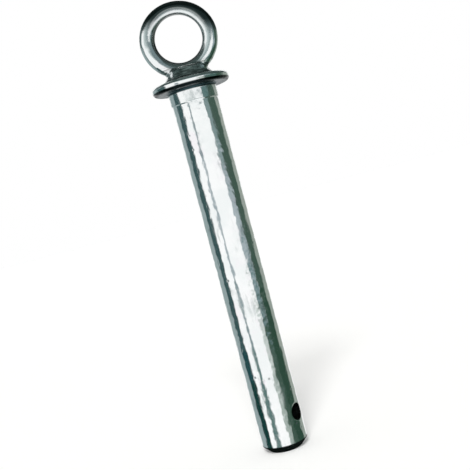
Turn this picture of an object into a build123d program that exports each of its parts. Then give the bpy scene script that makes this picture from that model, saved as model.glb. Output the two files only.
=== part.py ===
"""Support pin: a plain round shank with a rounded collar and a forged lifting eye.

The whole pin is one zinc-plated steel forging, so it is one solid. It stands upright
on its flat foot: +Z runs up the pin from the foot to the eye, the origin is the centre
of the foot, and the bore of the eye points along Y. All sizes are in millimetres.
"""
import os
from math import radians, sin

from build123d import *

os.makedirs("parts", exist_ok=True)

# Shank: what goes through the holes that the pin joins
shank_diameter = 19.05
reach = 152.4              # from the foot to the collar's seat
foot_chamfer = 2.8         # lead-in at the foot, 45 degrees
foot_edge_radius = 0.9     # softens both edges of the lead-in

# Cross hole for a lynch pin or a cotter
cross_hole_diameter = 7.1
cross_hole_to_foot = 14.7  # from the hole's axis to the foot
cross_hole_turn = 57.0     # degrees, from the side the eye faces (-Y) towards +X

# Neck: the forging die leaves the shank a little thicker next to the collar
neck_length = 5.4
neck_step = 0.4            # how far the neck stands proud of the shank
neck_fillet = 1.2          # between the neck and the collar's seat

# Collar: forged flat, with a rim that bulges all the way round
collar_diameter = 32.0
collar_thickness = 3.6
rim_bulge = 1.6            # how far the rim stands out from the collar's flat faces

# Eye: a ring of round section, forged thinner towards its crown
eye_bore = 19.2
eye_wire = 6.35            # thickness of the lower half
eye_thinning = 0.75        # how much thinner it is at the crown
eye_lift = 7.6             # from the collar's top up to the bore
crown_sections = 9         # sections that shape the upper half

# Hub: the mound of metal that the eye's foot is forged into
hub_cover = 2.1            # from the bore down to the hub's top
hub_ledge = 3.5            # flat of the collar left around the hub
hub_top_radius = 7.0
hub_edge_radius = 3.0
hub_root_radius = 1.0
eye_root_radius = 0.8      # blends the eye into the hub

# Sizes that follow from those above
shank_radius = shank_diameter / 2
neck_radius = shank_radius + neck_step
neck_bottom = reach - neck_length
collar_flat_radius = collar_diameter / 2 - rim_bulge
collar_top = reach + collar_thickness
hub_base_radius = collar_flat_radius - hub_ledge
hub_top = collar_top + eye_lift - hub_cover
bore_height = collar_top + eye_lift + eye_bore / 2
bore_axis = Axis((0, 0, bore_height), (0, 1, 0))


def corners_at(sketch, *points):
    """The sketch's corners nearest to the given points, each point as (radius, height)."""
    spots = [Vector(radius, height) for radius, height in points]
    return [sketch.vertices().sort_by_distance(spot)[0] for spot in spots]


def wire_at(turn):
    """The eye's thickness, turn degrees round from +X over the crown."""
    return eye_wire - eye_thinning * sin(radians(turn)) ** 2


def eye_plane(turn):
    """Plane across the eye, its origin in the middle of the section at that turn."""
    outwards = Vector(1, 0, 0).rotate(Axis.Y, -turn)
    middle = Vector(0, 0, bore_height) + outwards * (eye_bore + wire_at(turn)) / 2
    return Plane(middle, x_dir=outwards, z_dir=outwards.cross(Vector(0, 1, 0)))


with BuildPart() as eye_pin:
    # Shank, neck, collar and hub are turned from one half section
    foot_inner = (shank_radius - foot_chamfer, 0)
    foot_outer = (shank_radius, foot_chamfer)
    seat_inner = (neck_radius, reach)
    hub_base = (hub_base_radius, collar_top)
    hub_shoulder = (hub_top_radius, hub_top)
    with BuildSketch(Plane.XZ) as half_section:
        with BuildLine():
            below_rim = Polyline(
                (0, 0),
                foot_inner,
                foot_outer,
                (shank_radius, neck_bottom - neck_step),
                (neck_radius, neck_bottom),
                seat_inner,
                (collar_flat_radius, reach),
            )
            rim = EllipticalCenterArc(
                (collar_flat_radius, reach + collar_thickness / 2),
                rim_bulge,
                collar_thickness / 2,
                start_angle=-90,
                arc_size=180,
            )
            Polyline(rim @ 1, hub_base, hub_shoulder, (0, hub_top), (0, 0))
        make_face()
        fillet(corners_at(half_section, foot_inner, foot_outer), foot_edge_radius)
        fillet(corners_at(half_section, seat_inner), neck_fillet)
        fillet(corners_at(half_section, hub_base), hub_root_radius)
        fillet(corners_at(half_section, hub_shoulder), hub_edge_radius)
    revolve(axis=Axis.Z)

    # The eye's lower half is turned about the bore and partly buried in the hub, and its
    # upper half is lofted through sections that thin towards the crown
    with BuildPart(mode=Mode.PRIVATE) as eye:
        with BuildSketch(eye_plane(0)):
            Circle(eye_wire / 2)
        revolve(axis=bore_axis, revolution_arc=180)
        with BuildPart(mode=Mode.PRIVATE) as upper_half:
            for number in range(crown_sections):
                turn = 180 * number / (crown_sections - 1)
                with BuildSketch(eye_plane(turn)):
                    Circle(wire_at(turn) / 2)
            loft()
        add(upper_half.part)
    add(eye.part)
    fillet(eye_pin.edges(Select.NEW), eye_root_radius)

    # The cross hole goes right through the foot end of the shank
    hole_side = Vector(0, -1, 0).rotate(Axis.Z, cross_hole_turn)
    with BuildSketch(Plane(origin=(0, 0, cross_hole_to_foot), z_dir=hole_side)):
        Circle(cross_hole_diameter / 2)
    extrude(amount=shank_diameter, both=True, mode=Mode.SUBTRACT)

eye_pin.part.label = "eye_pin"
export_step(eye_pin.part, "parts/eye_pin.step")
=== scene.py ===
# %% [markdown]
# # A support pin in bright zinc plate
# A support pin locks the leg of a jack or a trailer stand. The real one is forged from
# one bar of steel: a long plain shank, a round collar that stops it, and a ring eye to
# pull it out by. It is then zinc plated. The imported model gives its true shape, size
# and place, so this script adds what that model lacks: the finish, the light that makes
# metal look like metal, and a camera. The pin stands upright on its foot, with +Z up
# the shank and the eye facing -Y.

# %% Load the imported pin
import math

import bmesh
import bpy
from mathutils import Matrix, Vector


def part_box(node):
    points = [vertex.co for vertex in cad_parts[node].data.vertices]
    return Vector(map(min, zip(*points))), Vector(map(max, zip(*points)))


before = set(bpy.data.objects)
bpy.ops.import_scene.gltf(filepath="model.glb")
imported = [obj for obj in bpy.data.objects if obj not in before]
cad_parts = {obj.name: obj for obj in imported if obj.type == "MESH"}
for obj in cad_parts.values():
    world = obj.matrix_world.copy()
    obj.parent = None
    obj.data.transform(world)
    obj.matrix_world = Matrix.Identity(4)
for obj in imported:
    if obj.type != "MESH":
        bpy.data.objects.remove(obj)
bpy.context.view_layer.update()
MM = 0.001
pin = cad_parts["eye_pin"]
low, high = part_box("eye_pin")
print("pin: %.1f mm tall, %.1f mm wide" % ((high.z - low.z) / MM, (high.x - low.x) / MM))

# %% [markdown]
# ## Helpers for colours and nodes
# Colours are easiest to pick as hex codes, but Blender's shaders work with linear light,
# so one function converts them. Another adds a shader node with its settings and its
# inputs in one call. A finish that is built from many alike steps is then a table of
# what each step does, and a short loop that adds its nodes.

# %% Colours and nodes
def linear(hex_colour):
    """An sRGB hex colour as linear red, green, blue and alpha."""
    channels = [int(hex_colour[i:i + 2], 16) / 255 for i in (1, 3, 5)]
    return [c / 12.92 if c <= 0.04045 else ((c + 0.055) / 1.055) ** 2.4 for c in channels] + [1.0]


def add_node(tree, kind, inputs=None, **settings):
    """Adds one node, sets it up, and fills or links its inputs, by name or by number."""
    node = tree.nodes.new(kind)
    for name, value in settings.items():
        setattr(node, name, value)
    for name, value in (inputs or {}).items():
        if isinstance(value, bpy.types.NodeSocket):
            tree.links.new(value, node.inputs[name])
        else:
            node.inputs[name].default_value = value
    return node


print("mid grey #808080 is %.3f in linear light" % linear("#808080")[0])

# %% [markdown]
# ## The finish of the real pin
# Bright zinc is plated on in a bath, as one thin layer over the whole forging, and sealed
# with a clear blue-green film. One material can hold all of it. To make it, the
# shader's Metallic goes to 1, and its colour, gloss and relief then change from place to
# place. Painted images could do that too, but they need the pin unwrapped. Distances
# measured on the pin itself need nothing, and they hold from every side.

# %% Material
# Bright zinc plate on forged steel: to the eye a cool, nearly white mirror, whose dark
# parts are the dark things around it, with a green or blue cast in the shadows
zinc = bpy.data.materials.new("bright_zinc_plate")
zinc.use_nodes = True
tree = zinc.node_tree
shader = tree.nodes["Principled BSDF"]
shader.inputs["Metallic"].default_value = 1.0
pin.data.materials[0] = zinc
print("material on the pin:", pin.data.materials[0].name)

# %% [markdown]
# ## Distances on the pin
# Six distances say where on the pin a point is: its height over the foot, and how far it
# is from the shank's axis, from a plane left of the pin, along the line on which the eye
# is pulled, from the axis of the eye's bore, and from that of the cross hole. A Mapping
# node moves the start of each to the origin and turns it square, the next node drops the
# axes that don't count, and the length of the rest is the distance. A length is never
# negative, so the plane stands clear of the pin, and the line starts below its foot.

# %% Distances
# In mm, from the centre of the foot; the pull runs through the middle of the bore
BORE_HEIGHT, HOLE_HEIGHT, HOLE_TURN = 173.2, 14.7, math.radians(57.0)
LEFT_PLANE = 30.0
PULL_TILT, PULL_LINE = math.radians(14.0), 200.0
PULL_START = (-PULL_LINE * math.sin(PULL_TILT), 0, BORE_HEIGHT - PULL_LINE * math.cos(PULL_TILT))

# name: (where it starts, its turns about X, Y and Z, the axes that count)
DISTANCES = {
    "height": ((0, 0, 0), (0, 0, 0), (0, 0, 1)),
    "from_axis": ((0, 0, 0), (0, 0, 0), (1, 1, 0)),
    "from_left": ((-LEFT_PLANE, 0, 0), (0, 0, 0), (1, 0, 0)),
    "along_pull": (PULL_START, (0, PULL_TILT, 0), (0, 0, 1)),
    "from_bore": ((0, 0, BORE_HEIGHT), (0, 0, 0), (1, 0, 1)),
    "from_hole": ((0, 0, HOLE_HEIGHT), (0, 0, HOLE_TURN), (1, 0, 1)),
}
place = add_node(tree, "ShaderNodeTexCoord").outputs["Object"]
distance = {}
for name, (start, turns, counted) in DISTANCES.items():
    moved = add_node(tree, "ShaderNodeMapping", {
        "Vector": place, "Location": [value * MM for value in start], "Rotation": turns,
    }, vector_type="TEXTURE")
    kept = add_node(tree, "ShaderNodeVectorMath", {
        0: moved.outputs[0], 1: counted,
    }, operation="MULTIPLY")
    length = add_node(tree, "ShaderNodeVectorMath", {0: kept.outputs[0]}, operation="LENGTH")
    distance[name] = length.outputs["Value"]
print("distances:", ", ".join(distance))

# %% [markdown]
# ## Where the finish changes
# The shank is drawn bar, and the neck, collar and eye above it came out of a forging die,
# so they are less even. Dark colour paints shade under the collar, on the lower half of
# its rim, in the hollow at the hub's foot and in the cross hole, and the underside, the
# hollow and the hole are also duller. Shade is painted along the inside of the eye and
# low in it as well. The crown gets a painted dark reflection outside and is worn inside,
# where a cord or a finger pulls, a little to the right of straight up. Each border is a
# smooth step from 0 to 1, or back to 0, along one of the distances.

# %% Smooth steps in mm
NECK, SEAT, COLLAR_TOP = 147.0, 152.4, 156.0
BORE_RADIUS, RING_MIDDLE = 9.6, 12.4
SHANK_RADIUS, HUB_RADIUS, HOLE_RADIUS = 9.525, 10.9, 3.55

# name: (distance, start, end, value before, value after)
STEPS = {
    "forged": ("height", NECK - 0.4, NECK + 0.2, 0, 1),
    "bar": ("height", NECK - 0.4, NECK + 0.2, 1, 0),
    "head": ("height", COLLAR_TOP - 2.0, COLLAR_TOP, 0, 1),
    "below_head": ("height", COLLAR_TOP - 2.0, COLLAR_TOP, 1, 0),
    "over_neck": ("height", SEAT - 1.2, SEAT - 0.7, 0, 1),
    "under_rim": ("height", SEAT + 0.2, SEAT + 0.5, 1, 0),
    "over_seat": ("height", SEAT - 0.02, SEAT + 0.04, 0, 1),
    "under_bulge": ("height", SEAT + 1.0, SEAT + 1.5, 1, 0),
    "rim_land": ("height", SEAT + 1.4, SEAT + 2.6, 0, 1),
    "over_collar": ("height", COLLAR_TOP - 0.4, COLLAR_TOP - 0.1, 0, 1),
    "under_hub": ("height", COLLAR_TOP + 0.9, COLLAR_TOP + 1.9, 1, 0),
    "under_eye": ("height", COLLAR_TOP + 5.5, COLLAR_TOP + 7.5, 1, 0),
    "near_hub": ("from_axis", HUB_RADIUS + 0.4, HUB_RADIUS + 1.4, 1, 0),
    "crown": ("along_pull", PULL_LINE + 1.0, PULL_LINE + 8.0, 0, 1),
    "ring_inside": ("from_bore", RING_MIDDLE - 1.2, RING_MIDDLE - 0.5, 1, 0),
    "ring_outside": ("from_bore", RING_MIDDLE - 1.8, RING_MIDDLE + 0.1, 0, 1),
    "worn_flat": ("from_bore", RING_MIDDLE - 2.6, RING_MIDDLE - 0.4, 1, 0),
    "below_crown": ("height", BORE_HEIGHT + 2.0, BORE_HEIGHT + 9.0, 1, 0),
    "bore_side": ("from_bore", BORE_RADIUS + 0.9, BORE_RADIUS + 1.7, 1, 0),
    "left_and_middle": ("from_left", LEFT_PLANE + 6.0, LEFT_PLANE + 10.0, 1, 0),
    # A thin band along the inside of the eye, where shade is painted
    "bore_shade": ("from_bore", BORE_RADIUS + 0.15, BORE_RADIUS + 0.75, 1, 0),
    "hole_wall": ("from_hole", HOLE_RADIUS + 0.05, HOLE_RADIUS + 0.15, 1, 0),
    "hole_depth": ("from_axis", SHANK_RADIUS - 1.6, SHANK_RADIUS - 0.8, 1, 0),
    "hole_edge": ("from_hole", HOLE_RADIUS, HOLE_RADIUS + 0.5, 1, 0),
    "pit_share": ("height", 0.0, 60.0, 0.8, 0.16),
}
mask = {"everywhere": 1.0}
for name, (along, start, end, before, after) in STEPS.items():
    mask[name] = add_node(tree, "ShaderNodeMapRange", {
        "Value": distance[along], "From Min": start * MM, "From Max": end * MM,
        "To Min": before, "To Max": after,
    }, interpolation_type="SMOOTHSTEP").outputs["Result"]
print("steps:", len(STEPS), "along", len(DISTANCES), "distances")

# %% [markdown]
# ## Patterns at their real size
# Drawing leaves the bar with a long ripple, a finer chatter on top of it and fine lines.
# Forging leaves shallow dents, and lines that run round the hub. The clear film dries in
# clouds, and handling leaves rubbed streaks. All of them are noise, at different sizes.
# A noise texture's Scale counts features per metre here, because Object coordinates are
# in metres, so it is one over the feature's real size. Squeezing the coordinates along
# the shank draws round blotches out into streaks, and a stretch below 1 does the
# opposite and turns them into lines round the pin.

# %% Noise
# name: (feature size in mm, stretch along the shank, detail, shift that keeps them apart)
PATTERNS = {
    "ripple": (4.5, 1.8, 2.0, 0.0),
    "chatter": (1.7, 1.4, 1.0, 0.6),
    "dents": (5.0, 1.0, 1.0, 0.3),
    # Real grains of plate and lines of drawing are under a tenth of a mm; coarser here, to show
    "grain": (0.5, 1.0, 3.0, 0.0),
    "draw_lines": (0.7, 40.0, 2.0, 0.0),
    "grey_cloud": (11.0, 1.0, 3.0, 0.7),
    "lilac_cloud": (9.0, 1.0, 2.0, 1.1),
    "rubs": (3.0, 4.0, 5.0, 0.5),
    "forge_lines": (4.0, 0.2, 2.0, 0.9),
}
for name, (size, stretch, detail, shift) in PATTERNS.items():
    spot = add_node(tree, "ShaderNodeMapping", {
        "Vector": place, "Location": (shift, shift, shift), "Scale": (1, 1, 1 / stretch),
    })
    mask[name] = add_node(tree, "ShaderNodeTexNoise", {
        "Vector": spot.outputs[0], "Scale": 1 / (size * MM), "Detail": detail,
    }).outputs["Fac"]
    print("pattern %s: %.1f mm across, %.1f mm along" % (name, size, size * stretch))

# %% [markdown]
# ## Patches out of noise
# Noise is a soft field of greys around 0.5. A patch with an edge, such as a cloud in the
# film, a rubbed streak or a forging line, comes from cutting that field between two of
# its values. The higher the cut, the fewer patches stay.

# %% Cut the noise
# name: (pattern, value where the patch begins, value where it is full)
PATCHES = {
    "grey_patches": ("grey_cloud", 0.40, 0.60),
    "lilac_patches": ("lilac_cloud", 0.55, 0.75),
    "rub_marks": ("rubs", 0.58, 0.72),
    "rub_haze": ("rubs", 0.45, 0.75),
    "streaks": ("forge_lines", 0.42, 0.58),
}
for name, (pattern, begins, full) in PATCHES.items():
    mask[name] = add_node(tree, "ShaderNodeMapRange", {
        "Value": mask[pattern], "From Min": begins, "From Max": full,
    }, interpolation_type="SMOOTHSTEP").outputs["Result"]
print("patches:", ", ".join(PATCHES))

# %% [markdown]
# ## Bands and hollows
# A band has two borders, so it is the product of two steps, and a hollow that also stops
# at some distance from the axis is the product of three. Streaks that stay on the hub
# are patches times the hub's own band. Each line below multiplies two masks, and later
# lines may use earlier ones.

# %% Products of two masks
# name: (first mask, second mask)
PRODUCTS = {
    # Under the collar, where shade is painted and the zinc is duller
    "shaded_dull_underside": ("over_neck", "under_rim"),
    # The rim's lower half, where shade is painted
    "rim_shade": ("over_seat", "under_bulge"),
    "hub_foot": ("over_collar", "under_hub"),
    # The hollow at the hub's foot, where shade is painted and the zinc is duller
    "shaded_dull_hub_hollow": ("hub_foot", "near_hub"),
    "hub_mound": ("over_collar", "under_eye"),
    "hub_streaks": ("streaks", "hub_mound"),
    "bore_low": ("below_crown", "bore_side"),
    # Low inside the eye, except its right side, where shade is painted
    "low_bore_shade": ("bore_low", "left_and_middle"),
    "rubbed": ("crown", "ring_inside"),
    # The crown's outside, where a dark reflection is painted
    "crown_dark_reflection": ("crown", "ring_outside"),
    # The cross hole's wall, where shade is painted and the zinc is duller
    "shaded_dull_hole": ("hole_wall", "hole_depth"),
}
for name, (first, second) in PRODUCTS.items():
    mask[name] = add_node(tree, "ShaderNodeMath", {
        0: mask[first], 1: mask[second],
    }, operation="MULTIPLY").outputs[0]
print("products:", ", ".join(PRODUCTS))

# %% [markdown]
# ## Pits
# Knocks leave small pits, most of them near the foot, which is pushed through the holes.
# A Voronoi texture makes one dot per cell, and the random colour of each cell decides
# which cells keep theirs, so the dots are sparse and uneven.

# %% Pits
PIT_SPACING = 6 * MM
# Radii of a pit: its floor ends at the first and its slope at the second
PIT_FLOOR, PIT_EDGE = 0.22 * MM, 0.715 * MM
cells = add_node(tree, "ShaderNodeTexVoronoi", {"Vector": place, "Scale": 1 / PIT_SPACING})
dot = add_node(tree, "ShaderNodeMapRange", {
    "Value": cells.outputs["Distance"], "To Min": 1.0, "To Max": 0.0,
    "From Min": PIT_FLOOR / PIT_SPACING, "From Max": PIT_EDGE / PIT_SPACING,
}, interpolation_type="SMOOTHSTEP")
cell_colour = add_node(tree, "ShaderNodeSeparateColor", {"Color": cells.outputs["Color"]})
chosen = add_node(tree, "ShaderNodeMath", {
    0: cell_colour.outputs["Red"], 1: mask["pit_share"],
}, operation="LESS_THAN")
mask["pits"] = add_node(tree, "ShaderNodeMath", {
    0: dot.outputs["Result"], 1: chosen.outputs[0],
}, operation="MULTIPLY").outputs[0]
print("pits: %.1f mm wide, one cell every %.0f mm" % (2 * PIT_EDGE / MM, PIT_SPACING / MM))

# %% [markdown]
# ## Colour
# A metal's base colour is the share of light that it reflects, so zinc is nearly white
# with a little blue, and the clouds in its film change it by a few percent only. Much
# darker colour paints shade under the collar, on its rim's lower half, in the hub's
# hollow, in the cross hole and inside the eye, and a dark reflection on the crown's
# outside; the forging lines of the hub are darker too. The layers lie over each other
# from first to last, each mixed in by its mask, as coats of glaze would be.

# %% Colour layers
CLEAN_ZINC = "#fafcfc"

# (mask, how strongly it shows, colour)
COLOUR_LAYERS = [
    ("grey_patches", 1.0, "#f3f7f7"),
    ("lilac_patches", 1.0, "#f7f5f8"),
    ("head", 0.4, "#e6eeee"),
    ("rub_marks", 0.4, "#b9c4c3"),
    # Painted dark reflection on the crown's outside
    ("crown_dark_reflection", 1.0, "#485352"),
    # Painted shade along the inside of the eye
    ("bore_shade", 0.75, "#2f3a38"),
    # Painted shade low inside the eye, away from its right side
    ("low_bore_shade", 0.7, "#2f3a38"),
    ("hub_streaks", 0.7, "#56605d"),
    ("pits", 0.75, "#8d9796"),
    # Painted shade in the hollow at the hub's foot
    ("shaded_dull_hub_hollow", 0.7, "#36403f"),
    # Painted shade under the collar
    ("shaded_dull_underside", 1.0, "#33494e"),
    # Painted shade, nearly black, on the rim's lower half
    ("rim_shade", 1.0, "#161f21"),
    # Painted shade in the cross hole
    ("shaded_dull_hole", 0.9, "#333d38"),
]
# A Mix node takes its colours at inputs 6 and 7 and gives the result at output 2
colour = linear(CLEAN_ZINC)
for name, amount, tint in COLOUR_LAYERS:
    shown = add_node(tree, "ShaderNodeMath", {0: mask[name], 1: amount}, operation="MULTIPLY")
    layer = add_node(tree, "ShaderNodeMix", {
        0: shown.outputs[0], 6: colour, 7: linear(tint),
    }, data_type="RGBA")
    colour = layer.outputs[2]
tree.links.new(colour, shader.inputs["Base Color"])
print("colour layers:", len(COLOUR_LAYERS))

# %% [markdown]
# ## Gloss
# Roughness 0 is a perfect mirror. Bright zinc on a drawn bar comes near it, and every
# fault scatters a little more light: the forged skin, rubbed haze, pits, and the dull
# places under the collar, in the hub's hollow and in the cross hole, which also get
# painted shade.
# So the roughness starts from that of the clean bar, and each fault adds its own.

# %% Roughness layers
CLEAN_BAR = 0.12

# (mask, roughness that it adds)
GLOSS_LAYERS = [
    ("forged", 0.02),
    ("rub_haze", 0.14),
    ("pits", 0.25),
    ("shaded_dull_underside", 0.2),
    ("shaded_dull_hub_hollow", 0.15),
    ("shaded_dull_hole", 0.2),
    ("rubbed", 0.1),
]
rough = CLEAN_BAR
for name, added in GLOSS_LAYERS:
    rough = add_node(tree, "ShaderNodeMath", {
        0: mask[name], 1: added, 2: rough,
    }, operation="MULTIPLY_ADD").outputs[0]
tree.links.new(rough, shader.inputs["Roughness"])
print("roughness from", CLEAN_BAR, "up, in", len(GLOSS_LAYERS), "layers")

# %% [markdown]
# ## Relief
# The bar's ripple is only tenths of a millimetre deep, too shallow to be worth modelling,
# but a mirror finish shows it at once, because it makes every reflection waver. A Bump
# node bends the shading normal by a height in metres and leaves the mesh alone. A chain
# of them adds the heights up: ripple, chatter and lines on the bar, dents and a worn
# crown on the head, a flat land round the collar's rim, sunk pits, and a rounded edge
# round the cross hole.

# %% Relief layers
# (height pattern, where it lies, depth in mm, negative for what is sunk)
RELIEF_LAYERS = [
    ("ripple", "below_head", 0.27),
    ("chatter", "bar", 0.085),
    ("dents", "head", 0.16),
    ("draw_lines", "bar", 0.004),
    ("grain", "everywhere", 0.004),
    ("pits", "everywhere", -0.06),
    ("worn_flat", "crown", 0.75),
    ("rim_land", "everywhere", 0.3),
    ("hole_edge", "everywhere", -0.12),
]
normal = add_node(tree, "ShaderNodeNewGeometry").outputs["Normal"]
for pattern, where, depth in RELIEF_LAYERS:
    relief = add_node(tree, "ShaderNodeMath", {
        0: mask[pattern], 1: mask[where],
    }, operation="MULTIPLY")
    normal = add_node(tree, "ShaderNodeBump", {
        "Height": relief.outputs[0], "Distance": depth * MM, "Strength": 1.0, "Normal": normal,
    }).outputs["Normal"]
tree.links.new(normal, shader.inputs["Normal"])
print("finish:", len(tree.nodes), "nodes, relief in", len(RELIEF_LAYERS), "layers")

# %% [markdown]
# ## Floor
# The pin stands on a sheet of white paper that runs out of sight. A single large square
# does that, and it hides its edge best when it is many times as wide as the pin is
# tall. It isn't part of the object, and reflections don't see it, so that the cards
# further down can shape them.

# %% Sheet of paper
FLOOR_HALF = 4.0
floor_mesh = bmesh.new()
bmesh.ops.create_grid(floor_mesh, x_segments=1, y_segments=1, size=FLOOR_HALF)
floor_data = bpy.data.meshes.new("floor")
floor_mesh.to_mesh(floor_data)
floor_mesh.free()
floor = bpy.data.objects.new("floor", floor_data)
bpy.context.collection.objects.link(floor)
floor.visible_glossy = False
print("floor: %.0f m square" % (2 * FLOOR_HALF))

# %% [markdown]
# ## White paper
# Paper that the light just fills renders a shade under white. More light would wash the
# pin out, so a little glow that only camera rays see lifts the paper to white instead,
# and the pin's shadow still shows on it.

# %% Paper's finish
# Matt white paper: next to no gloss, so the eye reads it as a plain ground
PAPER_GLOW, PAPER_ROUGHNESS = 0.12, 0.9
paper = bpy.data.materials.new("white_paper")
paper.use_nodes = True
paper_shader = paper.node_tree.nodes["Principled BSDF"]
paper_shader.inputs["Base Color"].default_value = linear("#f6f6f4")
paper_shader.inputs["Roughness"].default_value = PAPER_ROUGHNESS
paper_shader.inputs["Emission Color"].default_value = linear("#ffffff")
rays = add_node(paper.node_tree, "ShaderNodeLightPath")
glow = add_node(paper.node_tree, "ShaderNodeMath", {
    0: rays.outputs["Is Camera Ray"], 1: PAPER_GLOW,
}, operation="MULTIPLY")
paper.node_tree.links.new(glow.outputs[0], paper_shader.inputs["Emission Strength"])
floor_data.materials.append(paper)
print("paper glows by %.2f for the camera alone" % PAPER_GLOW)

# %% [markdown]
# ## Cards for the metal to reflect
# Polished metal has no look of its own: it shows the room. A photographer of a plated
# part stands grey and black cards round it, so that dark bands shape the round shank
# between its white highlights. The cards here do the same. Only reflections see them,
# so they cast no shadow and don't light the matt floor. An upright card is one edge spun
# about the pin's axis, and a level card is a filled circle.

# %% Card builders
FAR, CLOSE = 0.7, 0.03
CARD_STEPS, CIRCLE_SEGMENTS = 16, 64


def stand(name, mesh, colour):
    """Makes a card from a bmesh: strength 1 gives back its own colour, in reflections alone."""
    data = bpy.data.meshes.new(name)
    mesh.to_mesh(data)
    mesh.free()
    card = bpy.data.objects.new(name, data)
    bpy.context.collection.objects.link(card)
    face = bpy.data.materials.new(name)
    face.use_nodes = True
    face.node_tree.nodes.remove(face.node_tree.nodes["Principled BSDF"])
    light = add_node(face.node_tree, "ShaderNodeEmission", {
        "Color": linear(colour), "Strength": 1.0,
    })
    result = face.node_tree.nodes["Material Output"]
    face.node_tree.links.new(light.outputs[0], result.inputs["Surface"])
    data.materials.append(face)
    card.visible_camera = card.visible_diffuse = card.visible_shadow = False


def upright_card(name, from_deg, to_deg, bottom, top, colour, radius):
    """A curved upright card; degrees run from the front (-Y) towards +X, heights in metres."""
    turn = math.radians(from_deg)
    mesh = bmesh.new()
    across, along = math.sin(turn) * radius, -math.cos(turn) * radius
    ends = [mesh.verts.new((across, along, z)) for z in (bottom, top)]
    side = mesh.edges.new(ends)
    bmesh.ops.spin(
        mesh, geom=ends + [side], cent=(0, 0, 0), axis=(0, 0, 1),
        angle=math.radians(to_deg - from_deg), steps=CARD_STEPS, use_merge=False,
    )
    stand(name, mesh, colour)


def level_card(name, z, radius, behind, colour):
    """A flat round card above or below the pin, its centre that far behind it."""
    mesh = bmesh.new()
    bmesh.ops.create_circle(mesh, cap_ends=True, segments=CIRCLE_SEGMENTS, radius=radius)
    bmesh.ops.translate(mesh, verts=mesh.verts, vec=(0, behind, z))
    stand(name, mesh, colour)


print("cards stand %.2f or %.2f m from the pin's axis" % (FAR, CLOSE))

# %% [markdown]
# ## Placing the cards
# On a mirror-bright cylinder each place shows one direction of the room: the middle of
# the shank shows what is in front, and its edges show what is behind. So each band of
# the shank is one card, and a gap between cards is a white highlight. A band that gets
# darker towards the foot is a stack of cards. The far cards up to eye level serve the
# shank, and those above it the head, which the camera sees from below. The two left
# bands and the neck's right one have cards close to the shank, where the head hardly
# reflects them. Round cards above and below the pin darken what faces up or down.

# %% Cards
# Where the far cards end, in metres up. From GREEN_FOOT to EYE_LEVEL, the pin shows
# these borders at about 31, 54, 64, 77, 117 and 160 mm over its foot
BOTTOM, GREEN_FOOT, GREEN_TOP, MIDDLE = -1.1, -0.13, -0.06, -0.03
TEAL_TOP, UPPER, EYE_LEVEL, TOP = 0.01, 0.13, 0.262, 0.72
# Where the close cards end; the shank shows them about level with themselves
CLOSE_BOTTOM, END_TOP, FOOT_TOP = -0.03, 0.026, 0.04
PALE_FOOT, PALE_TOP, BAR_TOP, NECK_TOP = 0.072, 0.125, 0.149, 0.154
# One card hangs just under the top one, and one lies a hair under the paper
UNDER_TOP, UNDER_PAPER = 0.70, -0.0001

# (name, from and to in degrees, bottom, top, colour, radius)
UPRIGHT_CARDS = [
    ("gap_left_high", -35, -25, PALE_TOP, BAR_TOP, "#879599", CLOSE),
    ("gap_left_pale", -35, -25, PALE_FOOT, PALE_TOP, "#a4afb4", CLOSE),
    ("gap_left_low", -35, -25, FOOT_TOP, PALE_FOOT, "#87979a", CLOSE),
    ("gap_left_foot", -37, -24, END_TOP, FOOT_TOP, "#67807e", CLOSE),
    ("gap_left_end", -38, -21, CLOSE_BOTTOM, END_TOP, "#5d7875", CLOSE),
    ("dark_left", -92, -64, FOOT_TOP, NECK_TOP, "#3b5455", CLOSE),
    ("dark_left_foot", -91, -63, END_TOP, FOOT_TOP, "#23474a", CLOSE),
    ("dark_left_end", -91, -60, CLOSE_BOTTOM, END_TOP, "#173a37", CLOSE),
    ("neck_right", 36, 63, BAR_TOP, NECK_TOP, "#5a7674", CLOSE),
    ("soft_right_low", 25, 44, GREEN_FOOT, MIDDLE, "#c9d1cd", FAR),
    ("soft_right_foot", 23, 44, BOTTOM, GREEN_FOOT, "#a3afa9", FAR),
    ("gap_right_high", 44, 67, UPPER, EYE_LEVEL, "#7e9191", FAR),
    ("gap_right", 45, 73, TEAL_TOP, UPPER, "#a8b3b8", FAR),
    ("gap_right_teal", 45, 71, GREEN_TOP, TEAL_TOP, "#6e8789", FAR),
    ("gap_right_low", 44, 66, BOTTOM, GREEN_TOP, "#42584d", FAR),
    ("dark_right_high", 67, 113, UPPER, EYE_LEVEL, "#44594f", FAR),
    ("dark_right", 72, 113, MIDDLE, UPPER, "#44594f", FAR),
    ("dark_right_low", 66, 113, BOTTOM, MIDDLE, "#2f493c", FAR),
    ("far_left", -90, -77, BOTTOM, EYE_LEVEL, "#4a5b5b", FAR),
    ("rear_left", -150, -90, BOTTOM, EYE_LEVEL, "#96a5a6", FAR),
    ("rear_right", 113, 150, BOTTOM, EYE_LEVEL, "#98a199", FAR),
    ("high_rear_left", -150, -85, EYE_LEVEL, TOP, "#5d6a6a", FAR),
    ("high_left", -46, -20, EYE_LEVEL, TOP, "#c4cdcd", FAR),
    ("high_middle", -20, 2, EYE_LEVEL, TOP, "#a0acac", FAR),
    ("high_right", 2, 66, EYE_LEVEL, TOP, "#758588", FAR),
    ("high_dark_right", 66, 150, EYE_LEVEL, TOP, "#3a4845", FAR),
]
# (name, height, radius, how far behind the pin, colour)
LEVEL_CARDS = [
    ("dark_above", TOP, 0.75, 0.0, "#465452"),
    ("pale_above", UNDER_TOP, 0.16, 0.0, "#5f6d6b"),
    ("dark_below", BOTTOM, 0.32, 0.3, "#0d1211"),
    ("under_foot", UNDER_PAPER, 0.016, 0.0, "#0d1211"),
]
for card in UPRIGHT_CARDS:
    upright_card(*card)
for card in LEVEL_CARDS:
    level_card(*card)
print("cards:", len(UPRIGHT_CARDS) + len(LEVEL_CARDS))

# %% [markdown]
# ## A white room
# Without walls, the world is what lights the pin. It is white, and its strength depends
# on the ray: diffuse rays get half of it, which lights the paper gently, while the
# camera and reflections see full white.

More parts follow.
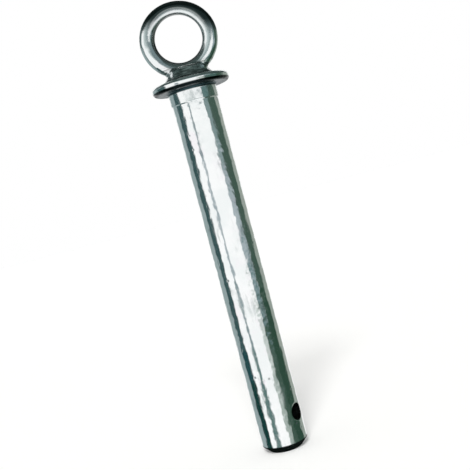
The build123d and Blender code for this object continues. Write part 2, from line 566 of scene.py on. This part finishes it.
# %% World
ROOM_LIGHT, ROOM_WHITE = 0.5, 1.0
world = bpy.data.worlds.new("room")
bpy.context.scene.world = world
world.use_nodes = True
room = world.node_tree
path = add_node(room, "ShaderNodeLightPath")
mirrored = add_node(room, "ShaderNodeMath", {
    0: path.outputs["Is Camera Ray"], 1: path.outputs["Is Glossy Ray"],
}, operation="MAXIMUM")
seen = add_node(room, "ShaderNodeMath", {
    0: mirrored.outputs[0], 1: path.outputs["Is Transmission Ray"],
}, operation="MAXIMUM")
strength = add_node(room, "ShaderNodeMapRange", {
    "Value": seen.outputs[0], "To Min": ROOM_LIGHT, "To Max": ROOM_WHITE,
})
background = room.nodes["Background"]
background.inputs["Color"].default_value = linear("#ffffff")
room.links.new(strength.outputs["Result"], background.inputs["Strength"])
print("room: %.1f as light, %.1f to look at" % (ROOM_LIGHT, ROOM_WHITE))

# %% [markdown]
# ## One soft lamp
# A lamp in front and high up gives the other half of the light, and lays the pin's
# shadow back along the floor. An area lamp would leave the far floor grey, so this is a
# sun, whose light is the same everywhere, with a wide disc for a soft edge.

# %% Lamp
LAMP_STRENGTH, LAMP_SPREAD_DEG = 2.3, 18
LAMP_DIRECTION = Vector((0.07, 0.72, -0.68))
lamp_data = bpy.data.lights.new("soft_lamp", "SUN")
lamp_data.angle = math.radians(LAMP_SPREAD_DEG)
lamp_data.energy = LAMP_STRENGTH
lamp = bpy.data.objects.new("soft_lamp", lamp_data)
bpy.context.collection.objects.link(lamp)
lamp.rotation_euler = LAMP_DIRECTION.to_track_quat("-Z", "Y").to_euler()
lamp.visible_glossy = False
print("lamp: strength %.1f, %d degrees wide" % (LAMP_STRENGTH, LAMP_SPREAD_DEG))

# %% [markdown]
# ## Camera
# The picture looks almost straight at the pin, 3 degrees from above its middle and from
# near by, and the pin leans 15 degrees in it. The pin itself stands upright, so the
# camera rolls instead. The numbers come from fitting the pin's outline to the picture.

# %% Camera
# The picture's side and the lens's focal length, both in pixels, and the film in mm
PICTURE_SIDE, FOCAL_LENGTH, FILM_WIDTH = 470, 850, 36.0
LEAN, TILT = math.radians(14.83), math.radians(3.22)
# The point in the middle of the picture, and how far the camera is from it
TARGET = Vector((1.78 * MM, 0, 90.6 * MM))
CAMERA_DISTANCE = 348.3 * MM

camera_data = bpy.data.cameras.new("camera")
camera_data.sensor_width = FILM_WIDTH
camera_data.lens = FILM_WIDTH * FOCAL_LENGTH / PICTURE_SIDE
camera = bpy.data.objects.new("camera", camera_data)
bpy.context.collection.objects.link(camera)
bpy.context.scene.camera = camera
back = Vector((0, -math.cos(TILT), math.sin(TILT)))
right = Vector((1, 0, 0))
up = back.cross(right)
camera_right = right * math.cos(LEAN) - up * math.sin(LEAN)
camera_up = up * math.cos(LEAN) + right * math.sin(LEAN)
camera.matrix_world = Matrix((camera_right, camera_up, back)).transposed().to_4x4()
camera.location = TARGET + back * CAMERA_DISTANCE
bpy.context.scene.view_settings.view_transform = "Standard"
print("camera: %.0f mm lens, %.0f mm from the pin" % (camera_data.lens, CAMERA_DISTANCE / MM))
